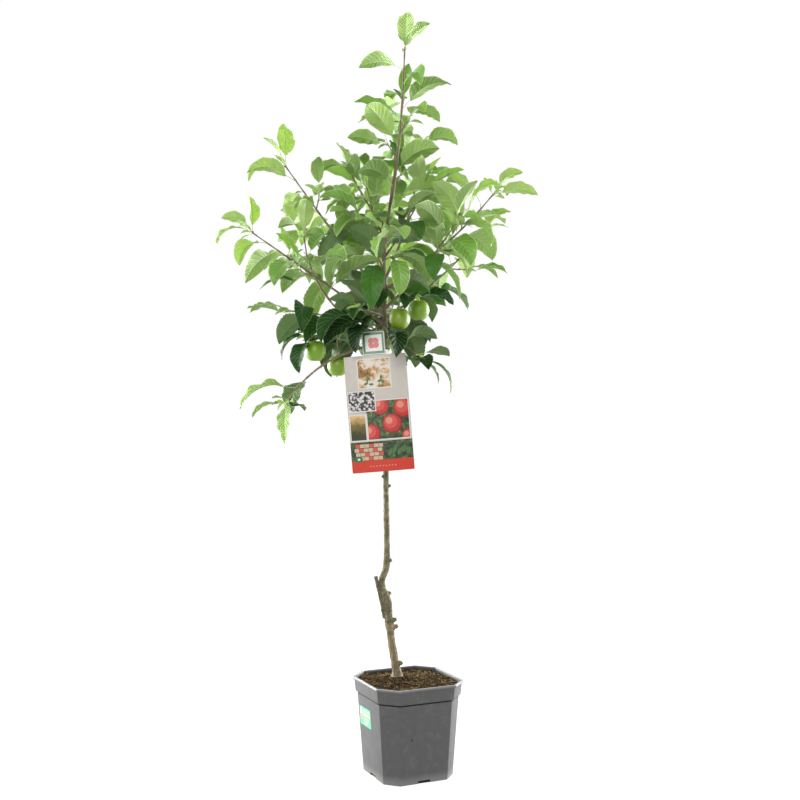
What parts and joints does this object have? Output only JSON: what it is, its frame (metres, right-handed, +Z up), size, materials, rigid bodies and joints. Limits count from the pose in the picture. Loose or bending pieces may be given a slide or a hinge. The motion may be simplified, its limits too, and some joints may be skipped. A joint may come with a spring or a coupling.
{
  "type": "dwarf apple tree in a pot",
  "caption": "Dwarf apple tree on a slim grafted stem with a loose leafy crown, green apples and a hanging picture label, in a square nursery pot with cut-off corners.",
  "frame": {"origin": "middle of the pot's flat underside", "axes": "+Z up along the stem; +X and +Y square to the pot's long faces"},
  "size_m": [0.6087, 0.5182, 1.533],
  "materials": {
    "pot": "satin dark grey, moulded",
    "soil": "rough bark and coir potting mix, stood in for by wood",
    "bark": "grey-brown bark",
    "young_bark": "smooth red-brown young bark",
    "label": "printed sheet with a soft gloss",
    "foliage": "leaves, twigs and apples, stood in for by fabric"
  },
  "bodies": {
    "root": {"pot": "pot", "soil": "soil", "trunk": "bark", "label": "label", "bough_right": "young_bark", "bough_left_low": "young_bark", "bough_left_high": "young_bark", "bough_left_front": "young_bark", "bough_low": "young_bark", "bough_front": "young_bark", "bough_right_front": "young_bark", "bough_right_back": "young_bark", "bough_back_high": "young_bark", "bough_back": "young_bark", "bough_left_back": "young_bark", "leaves_leader": "foliage", "leaves_right": "foliage", "leaves_left_low": "foliage", "leaves_left_high": "foliage", "leaves_left_front": "foliage", "leaves_low": "foliage", "leaves_front": "foliage", "leaves_right_front": "foliage", "leaves_right_back": "foliage", "leaves_back_high": "foliage", "leaves_back": "foliage", "leaves_left_back": "foliage", "leaves_fruit_front": "foliage", "leaves_fruit_left": "foliage", "leaves_fruit_back": "foliage", "leaves_upper_left": "foliage", "leaves_upper_right": "foliage", "leaves_upper_front": "foliage", "leaves_upper_back": "foliage", "leaves_inner_right": "foliage", "leaves_inner_front": "foliage", "leaves_inner_back": "foliage", "leaves_thin_left": "foliage"}
  },
  "joints": []
}
